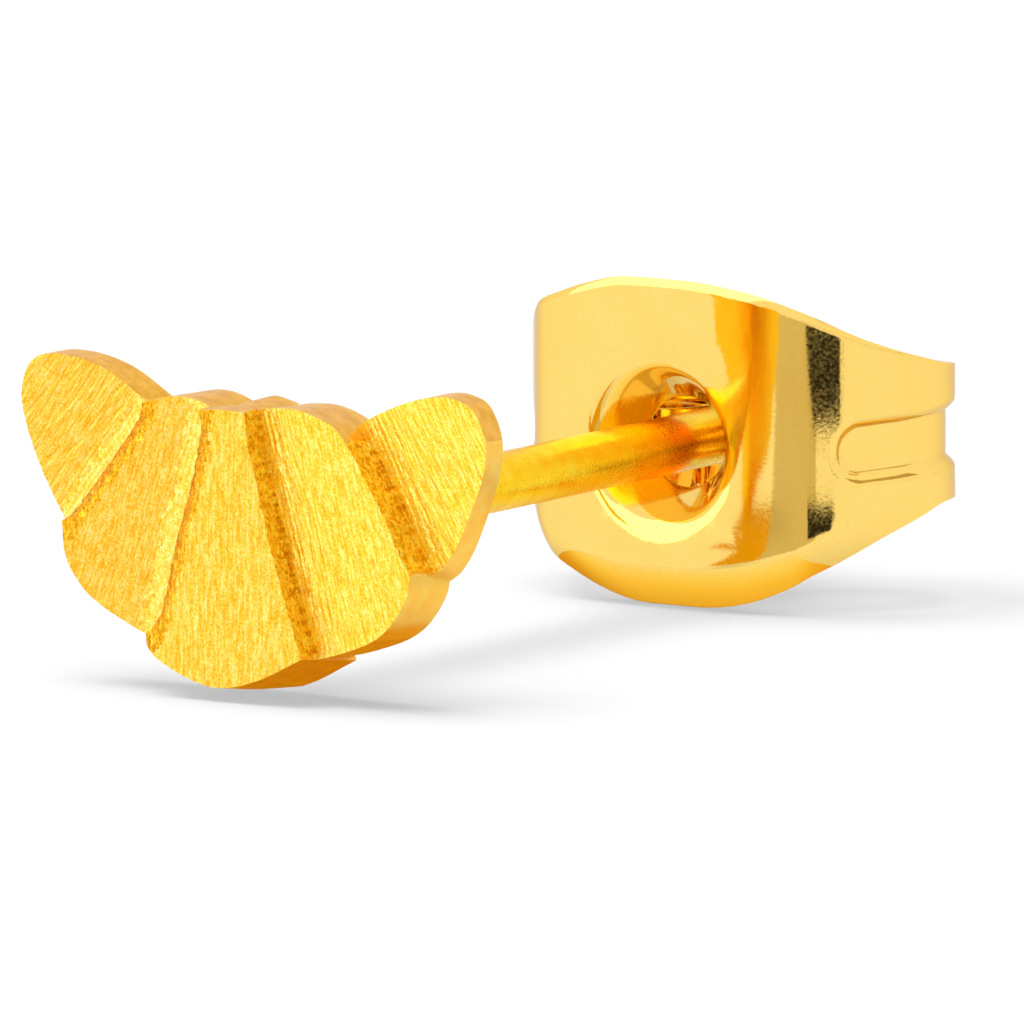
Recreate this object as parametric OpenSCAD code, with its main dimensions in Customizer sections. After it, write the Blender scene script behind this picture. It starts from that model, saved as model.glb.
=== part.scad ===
// Croissant stud earring with a butterfly back, lying on a flat surface.
// X is the width of the croissant, Y runs along the post from the face to the back, Z is up.
// The origin is on the surface, under the middle of the whole earring. All sizes are in millimetres.

/* [Croissant] */
// Thickness of the middle lobe
middle_t = 1.4; // [1.2:0.05:1.7]
// Thickness of the two lobes beside the middle one
side_t = 1.05; // [0.8:0.05:1.15]
// Thickness of the two horns
horn_t = 0.55; // [0.4:0.05:0.7]
// How far the underside leans out towards the back, for each millimetre of thickness
under_lean = 0.143; // [0.05:0.001:0.2]
// How far the ends lean out towards the back, for each millimetre of thickness
side_lean = 0.08; // [0:0.01:0.12]
// How far the top leans out towards the back, for each millimetre of thickness
top_lean = 0.04; // [0:0.01:0.1]

/* [Post] */
// Diameter of the post
post_d = 0.8; // [0.7:0.01:0.85]
// Length of the post behind the croissant
post_len = 12; // [11.6:0.1:12.6]
// Height of the post above the surface
post_z = 2.25; // [2.1:0.05:2.5]
// Place of the post across the croissant
post_x = 0.2; // [0:0.05:0.4]
// Radius of the solder fillet round the root of the post
fillet_r = 0.15; // [0.05:0.05:0.25]
// Rounding of the tip of the post
tip_r = 0.15; // [0.05:0.05:0.25]

/* [Butterfly back] */
// Gap between the croissant and the front of the butterfly back
ear_gap = 9.27; // [8.8:0.01:9.6]
// Thickness of the sheet
sheet_t = 0.22; // [0.15:0.01:0.28]
// Half width of the flat front, before the wings bend back
flat_w = 1.15; // [0.9:0.05:1.2]
// Radius of the bend between the front and a wing
bend_r = 1.6; // [1.2:0.05:1.7]
// Angle of a wing from the post's direction
flare = 36; // [32:1:40]
// Outer radius of a roll
roll_r = 1.45; // [1.35:0.05:1.55]
// Outer radius of the inner end of a roll
end_r = 0.95; // [0.8:0.05:1.05]
// Angle that the inner end turns past the post
end_turn = 75; // [40:5:90]
// Depth of the groove that runs along a wing and takes the post
groove_t = 0.13; // [0.08:0.01:0.16]
// Half width of the flat bottom of the groove
groove_w = 0.31; // [0.26:0.01:0.34]
// Half width of the groove at its shoulders
shoulder_w = 0.55; // [0.46:0.01:0.6]
// Clearance between the post and the groove, where the real rolls spring against it
grip_gap = 0.03; // [0.02:0.01:0.08]
// How far the top and bottom edges of the front are rolled back
edge_roll = 0.43; // [0.1:0.01:0.5]
// Diameter of the hole that the post goes through
hole_d = 1.27; // [1.05:0.01:1.4]
// Diameter of the dish round the hole, at the front
dish_d = 2.2; // [2:0.05:2.4]
// Depth of the dish
dish_t = 0.76; // [0.4:0.02:0.85]

/* [Hidden] */

// Columns of an outline's table: corner x, corner z, and how far the side to the next corner bulges out
PX = 0;
PZ = 1;
BULGE = 2;
MIDDLE = [
    [-0.37, 3.98, 0.03],
    [0.38, 3.99, -0.08],
    [1.30, 0.70, 0.525],
    [-1.24, 0.75, -0.08]
];
SIDE_RIGHT = [
    [0.30, 3.92, 0.22],
    [1.80, 3.66, 0.06],
    [2.88, 1.92, 0.36],
    [1.10, 0.64, 0]
];
SIDE_LEFT = [
    [-1.47, 3.94, 0.13],
    [-0.30, 3.92, 0],
    [-1.05, 0.72, 0.42],
    [-2.84, 2.20, 0.05]
];
HORN_RIGHT = [
    [1.62, 3.76, 0.08],
    [3.07, 4.33, 0.20],
    [3.75, 3.75, 0.17],
    [2.86, 1.86, 0],
    [2.30, 2.20, 0]
];
HORN_LEFT = [
    [-3.79, 3.80, 0.20],
    [-3.27, 4.45, 0.14],
    [-1.66, 3.83, 0],
    [-2.30, 2.40, 0],
    [-3.06, 2.20, 0.10]
];

// Columns of the strip's table: distance from the middle of the strip, half of its height there
STRIP = [
    [0, post_z],
    [0.8, post_z],
    [1.1, post_z - 0.05],
    [1.6, post_z - 0.17],
    [2.2, post_z - 0.36],
    [2.7, post_z - 0.58],
    [3.2, post_z - 0.84],
    [3.7, post_z - 1.06],
    [4.4, post_z - 1.25],
    [5.4, post_z - 1.33],
    [10, post_z - 1.38]
];
// Columns of the shaping table: distance from the middle, share of the rolled edge, share of the groove
SHAPING = [
    [0, 1, 0],
    [1.2, 0.9, 0],
    [2.0, 0.5, 0.1],
    [2.6, 0.3, 0.8],
    [3.1, 0.2, 1],
    [4.4, 0, 1],
    [12, 0, 1]
];

post_r = post_d / 2;
shoulder_x = post_r + grip_gap - groove_t;
wing_len = (shoulder_x + roll_r + (roll_r - bend_r) * cos(flare) - flat_w) / sin(flare);
bend_end = flat_w + bend_r * (90 - flare) * PI / 180;
wing_end = bend_end + wing_len;
roll_end = wing_end + roll_r * (180 + flare) * PI / 180;
strip_end = roll_end + end_r * end_turn * PI / 180;
bend_c = [flat_w, bend_r];
wing_tip = bend_c + bend_r * [cos(flare), -sin(flare)] + wing_len * [sin(flare), cos(flare)];
roll_c = wing_tip + roll_r * [-cos(flare), sin(flare)];
end_c = roll_c + [end_r - roll_r, 0];
clutch_depth = roll_c[1] + roll_r;

// Y of the croissant's flat back and of the butterfly back's front
stud_y = -(ear_gap + clutch_depth - middle_t) / 2;
clutch_y = stud_y + ear_gap;

// Rows of stations along half of the strip: how many steps each stretch has
FLAT_STEPS = 3;
BEND_STEPS = 6;
WING_STEPS = 2;
ROLL_STEPS = 18;
END_STEPS = 6;
ARC_STEPS = 10;
// Bulge under which the side of a lobe is a straight line
STRAIGHT = 0.001;
// Sides of the round cylinders and cones, and the turn between two points of a small rounding
ROUND = 64;
TURN = 15;
// How far the post starts inside the croissant
POST_ROOT = 0.3;
// Width of the rolled edge at most, the flat it leaves beside the groove, and where its inner fold lies
EDGE_BAND = 0.6;
EDGE_FLAT = 0.02;
FOLD = 0.4;
// The dish stands this proud of the sheet, so that the two overlap on a ring of this outer radius
LIP = 0.02;
RING_R = 1.26;
// The sheet is cut away inside this radius, from this far in front of it and over this depth
CUT_R = 1.18;
CUT_FRONT = 0.2;
CUT_DEPTH = 0.7;

// Points from corner a to just before corner b, on an arc that bulges to the left of a to b
function bulged(a, b, bulge) = let (
    chord = norm(b - a),
    across = (b - a) / chord,
    out = [-across[1], across[0]],
    mid = (a + b) / 2
) abs(bulge) < STRAIGHT ? [a] : let (
    r = (chord * chord / 4 + bulge * bulge) / (2 * bulge),
    c = mid - (r - bulge) * out,
    half = asin(min(1, chord / (2 * abs(r)))),
    full = abs(bulge) > chord / 2 ? 180 - half : half
) [for (i = [0 : ARC_STEPS - 1])
    let (turn = full * (2 * i / ARC_STEPS - 1))
    c + r * (cos(turn) * out + sign(r) * sin(turn) * across)];

function corner(row) = [row[PX], row[PZ]];

// The whole outline of a lobe from its table, clockwise as seen from the front
function outline(rows) = [for (i = [0 : len(rows) - 1])
    each bulged(corner(rows[i]), corner(rows[(i + 1) % len(rows)]), rows[i][BULGE])];

// An outline moved outwards, by its own share to the sides, up and down
function leaned(points, t) = let (n = len(points)) [for (i = [0 : n - 1])
    let (
        way = points[(i + 1) % n] - points[(i + n - 1) % n],
        out = [-way[1], way[0]] / norm(way)
    )
    points[i] + t * [out[0] * side_lean, out[1] * (out[1] < 0 ? under_lean : top_lean)]];

// Place of the strip's outer face on the +X side, at a distance s along it: x, y and heading
function strip_at(s) =
    s <= flat_w ? [s, 0, 90] :
    s <= bend_end ? on_arc(bend_c, bend_r, 90 - (s - flat_w) / bend_r * 180 / PI) :
    s <= wing_end ? let (back = wing_end - s)
        [wing_tip[0] - back * sin(flare), wing_tip[1] - back * cos(flare), flare] :
    s <= roll_end ? on_arc(roll_c, roll_r, flare - (s - wing_end) / roll_r * 180 / PI) :
    on_arc(end_c, end_r, -180 - (s - roll_end) / end_r * 180 / PI);
function on_arc(c, r, heading) = [c[0] + r * cos(heading), c[1] - r * sin(heading), heading];

// Distances of the stations along half of the strip
function stretch(from, to, steps) = [for (i = [1 : steps]) from + (to - from) * i / steps];
half_stations = concat(
    stretch(0, flat_w, FLAT_STEPS),
    stretch(flat_w, bend_end, BEND_STEPS),
    stretch(bend_end, wing_end, WING_STEPS),
    stretch(wing_end, roll_end, ROLL_STEPS),
    stretch(roll_end, strip_end, END_STEPS)
);
stations = concat(
    [for (i = [len(half_stations) - 1 : -1 : 0]) -half_stations[i]],
    [0],
    half_stations
);

function share(s, column) = lookup(s, [for (row = SHAPING) [row[0], row[column]]]);
// Width of the rolled edge where the strip's half height is h
function edge_band(h) = min(EDGE_BAND, h - shoulder_w - EDGE_FLAT);
// Heights across the strip, from its bottom edge to its top edge
function heights(s) = let (h = lookup(s, STRIP), band = edge_band(h)) [
    -h, -h + FOLD * band, -h + band, -shoulder_w, -groove_w,
    groove_w, shoulder_w, h - band, h - FOLD * band, h
];
// How far the sheet is pressed inwards at height z, by its rolled edges and its groove
function pressed(s, z) = let (
    h = lookup(s, STRIP),
    band = edge_band(h),
    edge = max(0, (abs(z) - h + band) / band),
    dip = min(1, max(0, (shoulder_w - abs(z)) / (shoulder_w - groove_w)))
) edge_roll * share(s, 1) * edge * edge + groove_t * share(s, 2) * dip;
function sheet_point(s, z, depth) = let (
    at = strip_at(abs(s)),
    in = pressed(abs(s), z) + depth,
    x = at[0] - in * cos(at[2])
) [s < 0 ? -x : x, at[1] + in * sin(at[2]), z];
// One closed ring of the sheet: its outer face upwards, then its inner face downwards
function ring_at(s) = let (zs = heights(abs(s))) concat(
    [for (z = zs) sheet_point(s, z, 0)],
    [for (i = [len(zs) - 1 : -1 : 0]) sheet_point(s, zs[i], sheet_t)]
);

// A lobe between its front outline and its wider outline on the croissant's flat back
module lobe(rows, t) {
    front = outline(rows);
    back = leaned(front, t);
    n = len(front);
    polyhedron(
        points = concat([for (p = front) [p[0], -t, p[1]]], [for (p = back) [p[0], 0, p[1]]]),
        faces = concat(
            [[for (i = [0 : n - 1]) i]],
            [[for (i = [n - 1 : -1 : 0]) n + i]],
            [for (i = [0 : n - 1]) let (j = (i + 1) % n) each [[i, n + i, j], [j, n + i, n + j]]]
        )
    );
}

// The post with its solder fillet and rounded tip, along +Y from inside the croissant
module post() {
    fillet = [for (turn = [0 : TURN : 90])
        [post_r + fillet_r * (1 - sin(turn)), fillet_r * (1 - cos(turn))]];
    tip = [for (turn = [0 : TURN : 90])
        [post_r - tip_r * (1 - cos(turn)), post_len - tip_r * (1 - sin(turn))]];
    rotate([-90, 0, 0]) rotate_extrude($fn = ROUND) polygon(concat(
        [[0, -POST_ROOT], [post_r + fillet_r, -POST_ROOT]], fillet, tip, [[0, post_len]]
    ));
}

// The sheet strip of the butterfly back, from the end of one roll to the end of the other
module strip() {
    rings = [for (s = stations) ring_at(s)];
    n = len(rings[0]);
    last = (len(rings) - 1) * n;
    polyhedron(
        points = [for (ring = rings) each ring],
        faces = concat(
            [for (k = [0 : n / 2 - 2]) each [[k, n - 1 - k, k + 1], [k + 1, n - 1 - k, n - 2 - k]]],
            [for (k = [0 : n / 2 - 2]) each [
                [last + k, last + k + 1, last + n - 1 - k],
                [last + k + 1, last + n - 2 - k, last + n - 1 - k]
            ]],
            [for (i = [0 : len(rings) - 2]) for (k = [0 : n - 1])
                let (a = i * n + k, b = i * n + (k + 1) % n)
                each [[a, b, a + n], [b, b + n, a + n]]]
        )
    );
}

// The dish round the hole, pressed backwards out of the front of the sheet
module dish() {
    wall = [dish_d / 2 - hole_d / 2, dish_t];
    off = sheet_t * [wall[1], wall[0]] / norm(wall);
    seam_r = dish_d / 2 + off[0] - (sheet_t + LIP - off[1]) * wall[0] / wall[1];
    rotate([-90, 0, 0]) rotate_extrude($fn = ROUND)
        polygon([
            [RING_R, -LIP],
            [dish_d / 2, -LIP],
            [hole_d / 2, dish_t],
            [hole_d / 2 + off[0], dish_t + off[1]],
            [seam_r, sheet_t + LIP],
            [RING_R, sheet_t + LIP]
        ]);
}

module croissant_stud() {
    color("goldenrod") translate([0, stud_y, 0]) {
        lobe(MIDDLE, middle_t);
        lobe(SIDE_RIGHT, side_t);
        lobe(SIDE_LEFT, side_t);
        lobe(HORN_RIGHT, horn_t);
        lobe(HORN_LEFT, horn_t);
        translate([post_x, 0, post_z]) post();
    }
}

module butterfly_back() {
    color("gold") translate([post_x, clutch_y, post_z]) {
        difference() {
            strip();
            translate([0, -CUT_FRONT, 0]) rotate([-90, 0, 0])
                cylinder(r = CUT_R, h = CUT_DEPTH, $fn = ROUND);
        }
        dish();
    }
}

croissant_stud();
butterfly_back();
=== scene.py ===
# %% [markdown]
# # A croissant ear stud and its butterfly back
#
# The object is one gold ear stud, lying by itself on a white table. A small flat croissant is
# soldered to a straight wire post, and a butterfly back of bent sheet metal is pushed onto the
# post. The CAD model already has every size and the one motion, the back sliding along the post.
# Here we build the looks round it: the brushed croissant, the drawn wire and the mirror polish of
# the back. The first cell loads the CAD model, and nothing else is read from disk.

import math

import bpy
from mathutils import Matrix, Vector, noise


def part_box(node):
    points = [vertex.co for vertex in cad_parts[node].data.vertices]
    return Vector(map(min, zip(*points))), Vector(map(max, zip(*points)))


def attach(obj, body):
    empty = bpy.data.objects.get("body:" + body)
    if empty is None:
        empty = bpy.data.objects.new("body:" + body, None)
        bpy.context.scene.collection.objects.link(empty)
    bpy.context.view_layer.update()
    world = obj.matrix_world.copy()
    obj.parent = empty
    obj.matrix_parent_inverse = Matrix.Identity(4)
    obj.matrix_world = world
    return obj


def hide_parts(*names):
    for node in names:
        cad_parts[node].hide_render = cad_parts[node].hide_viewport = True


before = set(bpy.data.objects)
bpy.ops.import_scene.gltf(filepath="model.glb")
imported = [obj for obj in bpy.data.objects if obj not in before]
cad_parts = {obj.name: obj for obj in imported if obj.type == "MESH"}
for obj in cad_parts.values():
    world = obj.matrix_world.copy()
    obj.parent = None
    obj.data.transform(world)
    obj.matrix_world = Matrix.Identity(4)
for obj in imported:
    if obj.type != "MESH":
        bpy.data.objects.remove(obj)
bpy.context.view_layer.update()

# %% [markdown]
# ## Sizes that the pieces share
#
# Blender works in metres and a jeweller in millimetres, so a millimetre gets a name. X runs across
# the croissant, Y along the post from the face to the back, and Z is up. The CAD boxes say where
# the two parts are: the croissant's flat back is one thickness behind its front.

# %% Sizes in the shared frame
MM = 0.001
MIDDLE_T = 1.4 * MM
SIDE_T = 1.05 * MM
HORN_T = 0.55 * MM
POST_R = 0.4 * MM
POST_X = 0.2 * MM
POST_Z = 2.25 * MM
POST_LENGTH = 12 * MM
DISH_LIP = 0.02 * MM
back_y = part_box("croissant_stud")[0].y + MIDDLE_T
clutch_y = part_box("butterfly_back")[0].y + DISH_LIP
print("flat back of the croissant at y =", round(back_y / MM, 3), "mm")
print("front of the butterfly back at y =", round(clutch_y / MM, 3), "mm")

# %% [markdown]
# ## Helpers for working as by hand
#
# Every operator acts on what is selected. These helpers put one piece in hand, switch it in and
# out of edit mode, and select its faces, edges or points by a test of our own, such as where they
# lie or which way they face.


# %% Helpers: take a piece, select parts of it, finish it
DOUBLED = 0.0005 * MM


def take(piece):
    """Selects this piece alone and makes it the active one."""
    if bpy.context.mode != "OBJECT":
        bpy.ops.object.mode_set(mode="OBJECT")
    bpy.ops.object.select_all(action="DESELECT")
    piece.select_set(True)
    bpy.context.view_layer.objects.active = piece


def pick(piece, kind, test=lambda part: True):
    """Leaves the piece in edit mode with only those points, edges or faces selected that pass."""
    take(piece)
    mesh = piece.data
    bpy.ops.object.mode_set(mode="EDIT")
    bpy.ops.mesh.select_mode(type=kind)
    bpy.ops.mesh.select_all(action="DESELECT")
    bpy.ops.object.mode_set(mode="OBJECT")
    parts = {"VERT": mesh.vertices, "EDGE": mesh.edges, "FACE": mesh.polygons}[kind]
    for part in parts:
        part.select = bool(test(part))
    bpy.ops.object.mode_set(mode="EDIT")


def place_applied(piece):
    """Puts the piece's place, turn and scale into its mesh."""
    take(piece)
    bpy.ops.object.transform_apply(location=True, rotation=True, scale=True)


def outwards(piece):
    """Merges doubled points and turns every face outwards."""
    pick(piece, "VERT")
    bpy.ops.mesh.remove_doubles(threshold=DOUBLED)
    bpy.ops.mesh.normals_make_consistent(inside=False)
    take(piece)


def shaped_by(piece, kind, **settings):
    """Adds a modifier with these settings and applies it at once."""
    take(piece)
    modifier = piece.modifiers.new(kind.lower(), kind)
    for setting, value in settings.items():
        setattr(modifier, setting, value)
    bpy.ops.object.modifier_apply(modifier=modifier.name)


def smoothed(piece, degrees):
    """Shades the piece smooth, apart from edges that turn by more than so many degrees."""
    take(piece)
    bpy.ops.object.shade_smooth_by_angle(angle=math.radians(degrees))


def size_of(piece):
    """The piece's size in millimetres, for printing."""
    return [round(side / MM, 2) for side in piece.dimensions]


# %% [markdown]
# ## Materials: one metal, several finishes
#
# The whole earring has the same warm gold plating, and what differs is the surface. The croissant's
# fronts are brushed, with a strip of finer relief beside each step whose paler tones are a painted
# highlight, and a darker strip along the rounded left rims. Its steps are torn, its edges satin, with
# a paler satin painted as light where they face right, and its back is buffed. The post is drawn
# wire, and the butterfly back a mirror. A metal has no colour of its own apart from what it
# reflects, so a finish is mostly roughness and fine relief. Where light bounces twice in a deep
# scratch it comes out more orange, which is the colour change painted here. Seen edge-on any metal
# turns pale, and the edge tint says how pale. Patterns read object coordinates in metres: a Mapping
# node of the texture kind divides them by the pattern's size, so a size can be given in millimetres,
# and longer along the scratches than across.


# %% Helpers: set sockets, make a pattern, mix two
def dial(node, settings):
    """Sets a node's sockets by their names."""
    for socket, value in settings.items():
        node.inputs[socket].default_value = value


def pattern(tree, size, along=1.0, turn=0.0, detail=2.0):
    """A noise of one size, stretched by along in the direction turn from upright."""
    place = tree.nodes.new("ShaderNodeTexCoord")
    mapped = tree.nodes.new("ShaderNodeMapping")
    mapped.vector_type = "TEXTURE"
    dial(mapped, {"Rotation": (0, turn, 0), "Scale": (size, size, size * along)})
    cloud = tree.nodes.new("ShaderNodeTexNoise")
    dial(cloud, {"Scale": 1.0, "Detail": detail})
    tree.links.new(place.outputs["Object"], mapped.inputs["Vector"])
    tree.links.new(mapped.outputs["Vector"], cloud.inputs["Vector"])
    return cloud.outputs["Fac"]


def blended(tree, first, second, share):
    """Two patterns mixed, with the second one's share."""
    mix = tree.nodes.new("ShaderNodeMix")
    dial(mix, {"Factor": share})
    tree.links.new(first, mix.inputs["A"])
    tree.links.new(second, mix.inputs["B"])
    return mix.outputs["Result"]


# %% Helper: a gold finish
EDGE_TINT = (0.92, 0.84, 0.74)
TONE_PLACES = (0.38, 0.5, 0.62)
NOISE_LOW = 0.35
NOISE_HIGH = 0.65


def gold(
    name, tones, rough, depth, colour_size, relief_size, along=1.0, turn=0.0, speckle=0.35, edge=1.0
):
    """A gold finish: its tones from deep to bright, roughness range and depth of relief.

    The share of round specks in its pattern is speckle, and edge scales the edge tint."""
    material = bpy.data.materials.new(name)
    material.use_nodes = True
    tree = material.node_tree
    shader = tree.nodes["Principled BSDF"]
    dial(shader, {"Metallic": 1.0, "Specular Tint": (*[part * edge for part in EDGE_TINT], 1)})
    lines = pattern(tree, colour_size, along, turn)
    specks = pattern(tree, relief_size, 1.0, turn, 3.0)
    both = blended(tree, lines, specks, speckle)

    ramp = tree.nodes.new("ShaderNodeValToRGB")
    for place, tone in zip(TONE_PLACES, tones):
        element = ramp.color_ramp.elements.new(place)
        element.color = (*tone, 1)
    ramp.color_ramp.elements.remove(ramp.color_ramp.elements[0])
    ramp.color_ramp.elements.remove(ramp.color_ramp.elements[-1])
    tree.links.new(both, ramp.inputs["Fac"])
    tree.links.new(ramp.outputs["Color"], shader.inputs["Base Color"])

    spread = tree.nodes.new("ShaderNodeMapRange")
    dial(spread, {"From Min": NOISE_LOW, "From Max": NOISE_HIGH})
    dial(spread, {"To Min": rough[0], "To Max": rough[1]})
    tree.links.new(specks, spread.inputs["Value"])
    tree.links.new(spread.outputs["Result"], shader.inputs["Roughness"])

    bump = tree.nodes.new("ShaderNodeBump")
    dial(bump, {"Strength": 1.0, "Distance": depth})
    tree.links.new(both, bump.inputs["Height"])
    tree.links.new(bump.outputs["Normal"], shader.inputs["Normal"])
    print("finish:", name)
    return material


# %% Finishes of the croissant's steps, edges and back
torn_gold = gold(
    "torn_gold",
    tones=((0.70, 0.34, 0.01), (1.0, 0.62, 0.03), (1.0, 0.86, 0.22)),
    rough=(0.20, 0.45), depth=0.025 * MM, colour_size=0.07 * MM, relief_size=0.04 * MM,
)
satin_gold = gold(
    "satin_gold",
    tones=((0.80, 0.40, 0.042), (0.89, 0.47, 0.063), (0.96, 0.54, 0.088)),
    rough=(0.28, 0.38), depth=0.004 * MM, colour_size=0.22 * MM, relief_size=0.05 * MM,
)
# a paler copy of the satin gold: painted light for the edges that face right
painted_lit_satin_gold = gold(
    "painted_lit_satin_gold",
    tones=((1.0, 0.57, 0.08), (1.0, 0.62, 0.10), (1.0, 0.67, 0.13)),
    rough=(0.28, 0.38), depth=0.002 * MM, colour_size=0.3 * MM, relief_size=0.09 * MM,
    speckle=0.2,
)
buffed_gold = gold(
    "buffed_gold",
    tones=((1.0, 0.66, 0.03), (1.0, 0.71, 0.05), (1.0, 0.76, 0.08)),
    rough=(0.12, 0.26), depth=0.003 * MM, colour_size=0.3 * MM, relief_size=0.07 * MM,
)

# %% Finishes of the butterfly back and the post
mirror_gold = gold(
    "mirror_gold",
    tones=((1.0, 0.66, 0.155), (1.0, 0.68, 0.17), (1.0, 0.70, 0.185)),
    rough=(0.04, 0.10), depth=0.0006 * MM, colour_size=1.2 * MM, relief_size=0.045 * MM,
    speckle=0.6, edge=0.8,
)
drawn_gold = gold(
    "drawn_gold",
    tones=((1.0, 0.58, 0.008), (1.0, 0.64, 0.013), (1.0, 0.70, 0.03)),
    rough=(0.18, 0.32), depth=0.002 * MM, colour_size=0.25 * MM, relief_size=0.04 * MM,
)

# %% Finishes along the borders of the brushed fronts
# darker, more orange tones, used along the rounded left rims and on step walls that face left
dark_rim_gold = gold(
    "dark_rim_gold",
    tones=((0.60, 0.24, 0.004), (0.82, 0.38, 0.01), (1.0, 0.62, 0.06)),
    rough=(0.25, 0.45), depth=0.012 * MM, colour_size=0.045 * MM, relief_size=0.035 * MM,
    along=3, speckle=0.5,
)
# finer relief than the fronts, and paler tones that are a painted highlight beside the steps
painted_highlight_gold = gold(
    "painted_highlight_gold",
    tones=((1.0, 0.56, 0.04), (1.0, 0.68, 0.09), (1.0, 0.84, 0.26)),
    rough=(0.20, 0.40), depth=0.008 * MM, colour_size=0.045 * MM, relief_size=0.035 * MM,
    along=2.5, speckle=0.5,
)

# %% [markdown]
# ## The croissant's lobes
#
# The croissant is five flat lobes, each thinner than the one nearer the middle, and they share one
# flat back. Each lobe is a blank sawn out of plate: its outline is drawn with a saw line for each
# side, the line between two lobes is a rough step, and the plate's edge leans out a little towards
# the back. Marks are given as x and z in millimetres, going round the lobe clockwise as seen from
# the front, and every side starts at the mark where the last one ended. A smooth line is laid
# through the marks of a side, so a few marks make a flowing curve and each side's end is a corner.

# %% The sides of the middle lobe and the two side lobes
PLAIN = "plain"
STEP = "step"
MIDDLE_LOBE = [
    (PLAIN, [(-0.37, 3.97), (0.0, 4.0), (0.38, 3.99)]),
    (STEP, [(0.38, 3.99), (0.46, 3.55), (0.66, 2.78), (0.92, 1.85), (1.31, 0.69)]),
    (PLAIN, [
        (1.31, 0.69), (1.15, 0.61), (0.62, 0.355), (0.05, 0.205), (-0.40, 0.255), (-0.98, 0.50),
        (-1.18, 0.68), (-1.20, 0.86),
    ]),
    (STEP, [
        (-1.20, 0.86), (-1.08, 1.16), (-0.94, 1.75), (-0.79, 2.30), (-0.58, 2.98), (-0.37, 3.97),
    ]),
]
RIGHT_LOBE = [
    (PLAIN, [
        (0.25, 3.90), (0.45, 4.00), (0.70, 4.035), (1.02, 4.035), (1.35, 3.95), (1.61, 3.84),
        (1.79, 3.66),
    ]),
    (STEP, [(1.79, 3.66), (1.97, 3.40), (2.20, 3.03), (2.41, 2.70), (2.66, 2.18), (2.84, 1.92)]),
    (PLAIN, [
        (2.84, 1.92), (2.78, 1.60), (2.54, 1.22), (2.27, 0.99), (1.92, 0.83), (1.37, 0.66),
        (1.05, 0.62),
    ]),
    (PLAIN, [(1.05, 0.62), (0.60, 2.20), (0.25, 3.90)]),
]
LEFT_LOBE = [
    (PLAIN, [
        (-1.50, 3.93), (-1.38, 3.98), (-1.05, 4.06), (-0.72, 4.07), (-0.45, 4.00), (-0.25, 3.90),
    ]),
    (PLAIN, [(-0.25, 3.90), (-0.60, 2.20), (-1.05, 0.72)]),
    (PLAIN, [
        (-1.05, 0.72), (-1.45, 0.80), (-1.70, 0.90), (-2.19, 1.14), (-2.48, 1.36), (-2.74, 1.75),
        (-2.80, 2.24),
    ]),
    (STEP, [(-2.80, 2.24), (-2.60, 2.52), (-2.16, 3.05), (-1.50, 3.93)]),
]

# %% The sides of the two horns
RIGHT_HORN = [
    (PLAIN, [
        (1.62, 3.76), (1.96, 3.97), (2.55, 4.21), (2.99, 4.30), (3.30, 4.27), (3.54, 4.15),
        (3.74, 3.74), (3.71, 3.32), (3.55, 2.88), (3.28, 2.30), (3.05, 1.99), (2.82, 1.83),
    ]),
    (PLAIN, [(2.82, 1.83), (2.30, 2.20)]),
    (PLAIN, [(2.30, 2.20), (1.62, 3.76)]),
]
LEFT_HORN = [
    (PLAIN, [
        (-3.10, 2.20), (-3.34, 2.60), (-3.53, 2.96), (-3.71, 3.42), (-3.79, 3.80),
        (-3.74, 4.12), (-3.60, 4.33), (-3.38, 4.42), (-3.02, 4.42), (-2.68, 4.36),
        (-2.36, 4.25), (-2.14, 4.13), (-1.83, 3.93), (-1.62, 3.78),
    ]),
    (PLAIN, [(-1.62, 3.78), (-2.30, 2.40), (-2.62, 1.97)]),
    (PLAIN, [(-2.62, 1.97), (-3.10, 2.20)]),
]
for lobe in (MIDDLE_LOBE, RIGHT_LOBE, LEFT_LOBE, RIGHT_HORN, LEFT_HORN):
    print("sides:", len(lobe), "marks:", sum(len(line) for _, line in lobe))

# %% [markdown]
# A smooth line needs a direction at every mark. Between two marks we take it parallel to the line
# from the mark before to the mark after, which is what a draughtsman does with a bent spline. At a
# corner the line simply starts straight towards the next mark.

# %% Helper: a smooth line through marks
SAW_STEP = 0.05 * MM


def smooth_line(marks):
    """Points about SAW_STEP apart on a smooth line through the marks, without the last mark."""
    marks = [Vector(mark) * MM for mark in marks]
    last = len(marks) - 1
    points = []
    for i in range(last):
        a, b = marks[i], marks[i + 1]
        span = (b - a).length
        leave = (b - marks[max(i - 1, 0)]).normalized() * span
        arrive = (marks[min(i + 2, last)] - a).normalized() * span
        steps = max(1, round(span / SAW_STEP))
        for k in range(steps):
            t = k / steps
            rest = 1 - t
            points.append(
                a * (rest * rest * (1 + 2 * t))
                + b * (t * t * (3 - 2 * t))
                + leave * (t * rest * rest)
                - arrive * (t * t * rest)
            )
    return points


def saw_line(lobe):
    """All points round a lobe, and which of them lie on a step."""
    points, on_step = [], []
    for finish, marks in lobe:
        line = smooth_line(marks)
        points += line
        on_step += [finish == STEP] * len(line)
    return points, on_step


print("points round the middle lobe:", len(saw_line(MIDDLE_LOBE)[0]))

# %% [markdown]
# Each blank starts as a disc with one point for every point of the saw line. The points are laid
# on the line, the disc is pushed back in thin slices to the thickness of the lobe, and its back is
# scaled up or lowered a little, which gives the edge its lean. On the real thing the rims that face
# left are filed round, so the first slices are drawn in there. The other slices are there for the
# step walls, which look torn: a noise will move their points.

# %% Helpers: round a rim, soften the corners
ROUND_WIDTH = 0.42 * MM
ROUND_DEPTH = 0.30 * MM
ROUND_FADE = 0.3 * MM
CORNER_WIDTH = 0.60 * MM
CORNER_FADE = 0.15 * MM
CORNER_DRAW = 0.09 * MM


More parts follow.
